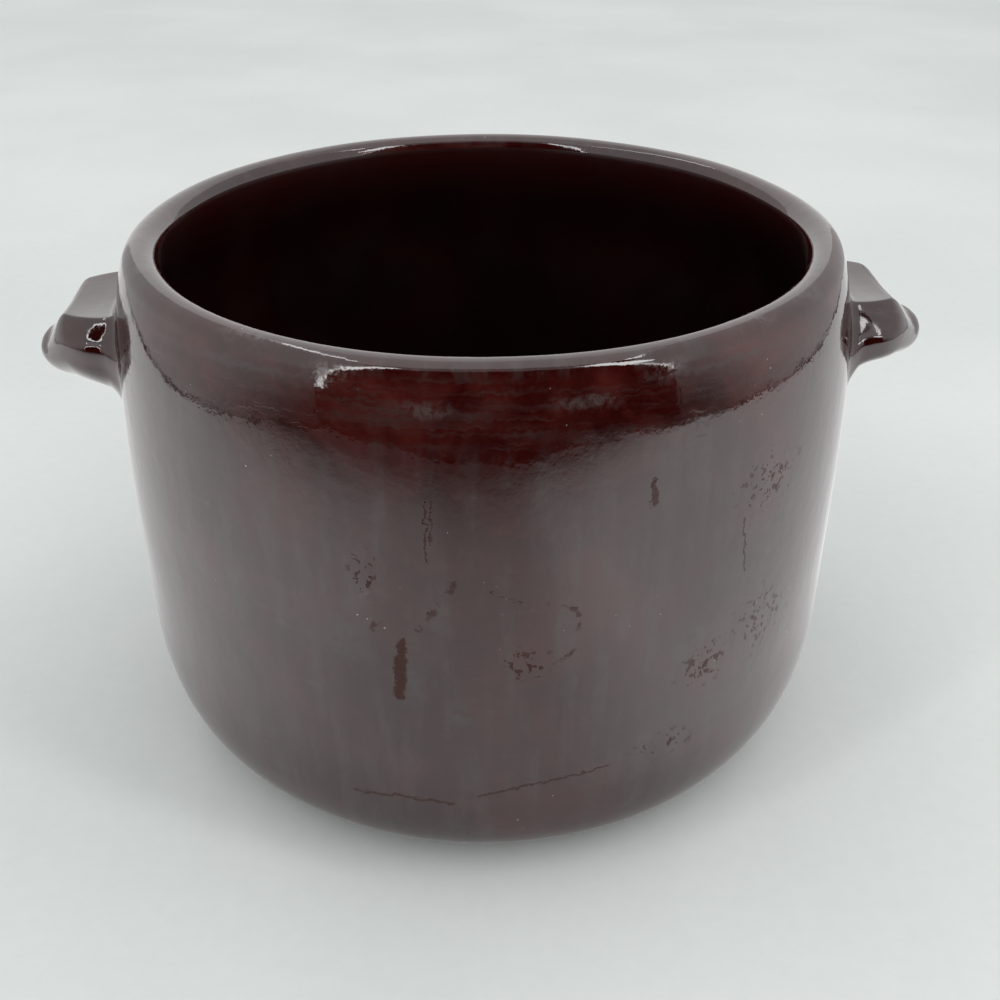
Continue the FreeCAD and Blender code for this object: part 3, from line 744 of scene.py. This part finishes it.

# %% [markdown]
# Down inside the pot the glaze is duller: years of cooking have etched it, so it shows hardly any
# reflections. Its colour there is painted shade: far darker than the glaze outside, and growing
# lighter towards the lip, where light comes in at the mouth. The foot ring was wiped before firing,
# and shows the buff stoneware, with a grain of fine grog and a rim of grey where it has stood on
# tables.

# %% Inside glaze with painted shade, and bare clay
shaded_inside_glaze, g = new_material("shaded_inside_glaze")
place = g.add("ShaderNodeTexCoord", "Object")
height = g.add("ShaderNodeSeparateXYZ", "Z", Vector=place)
cloud = g.window(g.noise(place, 30.0, detail=4.0), 0.35, 0.70)
# painted shade: far darker than the outside glaze, and lighter towards the lip, where light comes in at the
# mouth
shaded_inside_colour = g.mix(cloud, (0.0070, 0.00030, 0.00030), (0.0120, 0.00060, 0.00050))
lit_near_lip = g.window(height, 0.118, 0.136)
shaded_inside_colour = g.mix(g.math("MULTIPLY", lit_near_lip, 0.8), shaded_inside_colour, (0.0260, 0.0022, 0.0019))
dull = g.window(g.noise(place, 14.0, detail=3.0), 0.3, 0.7, 0.30, 0.42)
bump = g.add("ShaderNodeBump", Height=g.noise(place, 3.0, detail=3.0), Strength=1.0, Distance=0.00006)
g.end(g.add("ShaderNodeBsdfPrincipled", IOR=1.45, Base_Color=shaded_inside_colour, Roughness=dull, Normal=bump))

bare_clay, b = new_material("bare_clay")
place = b.add("ShaderNodeTexCoord", "Object")
grain = b.window(b.noise(place, 1.4, detail=4.0, roughness=0.7), 0.35, 0.70)
soil = b.window(b.noise(place, 18.0, detail=4.0), 0.45, 0.70, 0.0, 0.7)
earth = b.mix(soil, b.mix(grain, (0.42, 0.33, 0.24), (0.55, 0.45, 0.34)), (0.22, 0.18, 0.14))
sand = b.noise(place, 0.9, detail=4.0, roughness=0.7)
bump = b.add("ShaderNodeBump", Height=sand, Strength=1.0, Distance=0.00025)
b.end(b.add("ShaderNodeBsdfPrincipled", Base_Color=earth, Roughness=0.85, Normal=bump))

# %% [markdown]
# ## Putting the pieces in place
#
# Each dressed piece stands for the solid of the measured model that it follows.

# %% Dress the pieces
OUTSIDE, INSIDE, CLAY = 0, 1, 2  # the order in which the pot gets its finishes
# The pot's faces come row by row from the foot to the floor inside, then the fan under the foot, then
# the fan on the floor inside.
face_rows = np.arange(len(section) - 1)
finish_of_row = np.where(face_rows >= INSIDE_FROM, INSIDE, OUTSIDE)
finish_of_row[(face_rows >= CLAY_FROM) & (face_rows < CLAY_TO)] = CLAY
pot_finish = np.concatenate([finish_of_row.repeat(ROUND_STEPS), np.full(ROUND_STEPS, OUTSIDE),
                             np.full(ROUND_STEPS, INSIDE)])
for finish in (glaze, shaded_inside_glaze, bare_clay):
    pot.data.materials.append(finish)
pot.data.polygons.foreach_set("material_index", pot_finish)
print("faces outside, inside and of bare clay", np.bincount(pot_finish))
for piece in lugs:
    piece.data.materials.append(glaze)
for piece, node in ((pot, "pot_body"), (lugs[0], "right_lug_handle"), (lugs[1], "left_lug_handle")):
    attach(piece, "root")
    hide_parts(node)

# %% [markdown]
# ## The floor and the light tent
#
# A mirror finish is lit by what it reflects. The pot stands on a pale floor inside a light tent:
# pale walls and roof, an open and dark front, and light bars along the roof and down the two front
# corners. The walls and roof are cards that only reflections can see, so they can't get in the way
# of a camera that moves round the pot.

# %% Stage helpers
ONE_FACE = [(0, 1, 2, 3)]


def stage_card(name, points, faces):
    """A flat piece of the stage from its points, in metres, and its faces."""
    mesh = bpy.data.meshes.new(name)
    mesh.from_pydata(points, [], faces)
    card = bpy.data.objects.new(name, mesh)
    bpy.context.scene.collection.objects.link(card)
    return card


def mirror_card(name, points, faces, material):
    """A card that is seen by mirror rays and by nothing else."""
    card = stage_card(name, points, faces)
    card.visible_camera = card.visible_diffuse = card.visible_shadow = False
    card.visible_transmission = card.visible_volume_scatter = False
    card.data.materials.append(material)


def glowing(name, strength):
    """A material that gives off plain light. strength is a number or a function (nodes, x, y, z)."""
    material, nodes = new_material(name)
    if callable(strength):
        spot = nodes.add("ShaderNodeTexCoord", "Object")
        x, y, z = (nodes.add("ShaderNodeSeparateXYZ", axis, Vector=spot) for axis in ("X", "Y", "Z"))
        strength = strength(nodes, x, y, z)
    nodes.end(nodes.add("ShaderNodeEmission", Strength=strength))
    return material


# %% [markdown]
# The floor is one flat face in a matt, softly creased cloth. A cloth could be draped by a simulation,
# but here it only has to take the pot's shadow, so its creases are a bump. It is left out of the
# pot's reflections, because the tent's own table stands for it there.

# %% Floor
floor = stage_card("floor", [(-4, -4, 0), (4, -4, 0), (4, 4, 0), (-4, 4, 0)], ONE_FACE)
floor.visible_glossy = False
cloth, f = new_material("pale_cloth")
spot = f.add("ShaderNodeTexCoord", "Object")
tone = f.window(f.noise(spot, 210.0, detail=3.0), 0.3, 0.7)
weave = f.window(f.noise(spot, 5.0, detail=3.0, roughness=0.7), 0.2, 0.8, 0.97, 1.0)
drawn_out = f.add("ShaderNodeMapping", Vector=spot, Rotation=(0, 0, 0.9), Scale=(1.0, 0.16, 1.0))
creases = f.noise(drawn_out, 34.0, detail=3.0)
cloth_bump = f.add("ShaderNodeBump", Height=creases, Strength=1.0, Distance=0.0008)
shade = f.scaled(f.mix(tone, (0.680, 0.705, 0.695), (0.735, 0.755, 0.745)), weave)
f.end(f.add("ShaderNodeBsdfDiffuse", Normal=cloth_bump, Color=shade))
floor.data.materials.append(cloth)

# %% [markdown]
# The walls of the tent are curtains that stand along the edge of the table, so one line of points
# gives both: the table fills the line, and each curtain rises from a stretch of it. The line is a
# little uneven, as a cloth edge is. The table's glow carries painted shade: it is dimmer in the
# middle, dimmer towards the front, where whoever looks at the pot stands in the light, and dimmer
# near the pot's foot, a painted shadow of the pot. The curtains carry painted shade too: they grow
# dim towards their front foot, with a darker crease along it.

# %% Table and curtains
TABLE_FRONT = [(-0.530, -0.470), (-0.438, -0.532), (-0.353, -0.553), (-0.260, -0.570), (-0.163, -0.548),
               (-0.089, -0.562), (-0.014, -0.570), (0.059, -0.546), (0.123, -0.556), (0.207, -0.600),
               (0.300, -0.640), (0.424, -0.590), (0.462, -0.475), (0.500, -0.420)]
TABLE_RIGHT = [(0.500, -0.420), (0.546, -0.389), (0.585, -0.326), (0.605, -0.231), (0.600, -0.140),
               (0.552, 0.044), (0.526, 0.189), (0.520, 0.353), (0.530, 0.850)]
TABLE_LEFT = [(-0.530, 0.850), (-0.500, 0.344), (-0.495, 0.206), (-0.480, 0.084), (-0.505, -0.063),
              (-0.528, -0.204), (-0.530, -0.470)]
TENT_TOP, HALF_TENT, TABLE_LIFT = 1.27, 0.53, 0.0002
# the crease's darkness is painted shade where a curtain meets the table
CREASE_SHADE = 0.009  # height of the dark crease at a curtain's foot


def curtain(name, line, material):
    """An upright strip over each step of a line on the table, as high as the tent."""
    count = len(line)
    points = [(x, y, 0.0) for x, y in line] + [(x, y, TENT_TOP) for x, y in line]
    strips = [(k, k + 1, count + k + 1, count + k) for k in range(count - 1)]
    mirror_card(name, points, strips, material)


def table_light(nodes, x, y, z):
    """Painted shade: 0.65 in the middle to 1 beside the pot, times a fall with y + 0.35 x and a painted
    shadow near the foot.
    """
    # painted shade: the table is dimmer in the middle than beside the pot
    right_side = nodes.window(x, 0.02, 0.11, 0.65, 1.0)
    left_side = nodes.window(x, -0.20, -0.03, 1.0, 0.65)
    beside = nodes.math("MAXIMUM", right_side, left_side)
    # painted shade: the table dims towards the front, where whoever looks at the pot stands in the light
    front_shade = nodes.window(nodes.math("MULTIPLY_ADD", x, 0.35, y), -0.56, -0.16, 0.12, 1.0)
    spread = nodes.math("SQRT", nodes.math("ADD", nodes.math("MULTIPLY", x, x), nodes.math("MULTIPLY", y, y)))
    # painted shadow of the pot: the table dims near the pot's foot
    painted_pot_shadow = nodes.window(spread, 0.06, 0.145, 0.30, 1.0)
    return nodes.math("MULTIPLY", nodes.math("MULTIPLY", beside, front_shade), painted_pot_shadow)


def curtain_light(full):
    """A curtain's glow: a smooth rise with y + 1.2 z, which paints shade at its front foot, and painted shade
    in the crease at the foot.
    """
    def pattern(nodes, x, y, z):
        along = nodes.math("MULTIPLY_ADD", z, 1.2, y)
        # painted shade: the curtain dims towards its front foot
        glow = nodes.window(along, -0.42, 0.12, 0.05, full)
        ragged = nodes.noise(nodes.add("ShaderNodeTexCoord", "Object"), 30.0, detail=3.0)
        # painted shade in the crease at the curtain's foot
        foot = nodes.window(nodes.math("MULTIPLY_ADD", ragged, 0.010, z), CREASE_SHADE, CREASE_SHADE + 0.008, 0.12, 1.0)
        return nodes.math("MULTIPLY", glow, foot)
    return pattern


outline = TABLE_FRONT + TABLE_RIGHT[1:] + TABLE_LEFT[:-1]
mirror_card("table", [(x, y, TABLE_LIFT) for x, y in outline], [tuple(range(len(outline)))],
            glowing("table_light", table_light))
curtain("curtain_left", TABLE_LEFT, glowing("curtain_left_light", curtain_light(0.66)))
curtain("curtain_right", TABLE_RIGHT, glowing("curtain_right_light", curtain_light(0.66)))
curtain("curtain_back", [TABLE_RIGHT[-1], TABLE_LEFT[0]], glowing("curtain_back_light", 1.1))
for name, near, far, glow in (("tent_roof", -0.20, 0.85, 0.85), ("overhead", -0.47, -0.20, 0.33)):
    corners = [(-HALF_TENT, near, TENT_TOP), (HALF_TENT, near, TENT_TOP),
               (HALF_TENT, far, TENT_TOP), (-HALF_TENT, far, TENT_TOP)]
    mirror_card(name, corners, ONE_FACE, glowing(name + "_light", glow))

# %% [markdown]
# The bars are area lights, not more cards: a glossy surface shows such a lamp as a crisp white line,
# and it sends out light as well. Two stand at the front corners and two lie along the roof.

# %% Light bars
BAR_GLOW = 5.0


def light_bar(name, middle, toward, width, length, long_axis=(0.0, 0.0, 1.0)):
    """A flat bar of light whose face looks toward a point."""
    data = bpy.data.lights.new(name, "AREA")
    data.shape = "RECTANGLE"
    data.size, data.size_y = width, length
    data.energy = BAR_GLOW * math.pi * width * length
    lamp = bpy.data.objects.new(name, data)
    bpy.context.scene.collection.objects.link(lamp)
    back = np.array(middle) - np.array(toward)
    back /= np.linalg.norm(back)
    side = np.cross(long_axis, back)
    side /= np.linalg.norm(side)
    turned_pose = np.eye(4)
    turned_pose[:3, 0], turned_pose[:3, 1] = side, np.cross(back, side)
    turned_pose[:3, 2], turned_pose[:3, 3] = back, middle
    lamp.matrix_world = Matrix(turned_pose.tolist())
    lamp.visible_camera = False
    print(name, width, "by", length, "m")


light_bar("bar_front_left", (-0.53, -0.455, 0.70), (0.0, 0.0, 0.4), 0.07, 1.10)
light_bar("bar_front_right", (0.56, -0.41, 0.74), (0.0, 0.0, 0.4), 0.13, 1.00)
light_bar("bar_roof_left", (-0.49, 0.45, 1.26), (-0.2, 0.45, 0.2), 0.05, 0.90, long_axis=(0.0, 1.0, 0.0))
light_bar("bar_roof_right", (0.55, 0.22, 1.26), (0.2, 0.22, 0.2), 0.06, 0.70, long_axis=(0.0, 1.0, 0.0))

# %% [markdown]
# The world has its own strength for each kind of ray: even light for matt surfaces, almost none for
# mirror rays, which should only meet the tent, and a pale grey for the camera.

# %% World
world = bpy.data.worlds.new("room")
bpy.context.scene.world = world
w = Nodes(world)
path = w.tree.nodes.new("ShaderNodeLightPath")
EVEN_LIGHT, DARK_ROOM, PALE_BACKGROUND = 0.90, 0.004, 0.72
strength = w.add("ShaderNodeMix", Factor=path.outputs["Is Glossy Ray"], i2=EVEN_LIGHT, i3=DARK_ROOM)
strength = w.add("ShaderNodeMix", Factor=path.outputs["Is Camera Ray"], i2=strength, i3=PALE_BACKGROUND)
w.end(w.add("ShaderNodeBackground", Color=(0.98, 1.0, 0.995, 1.0), Strength=strength),
      "ShaderNodeOutputWorld")
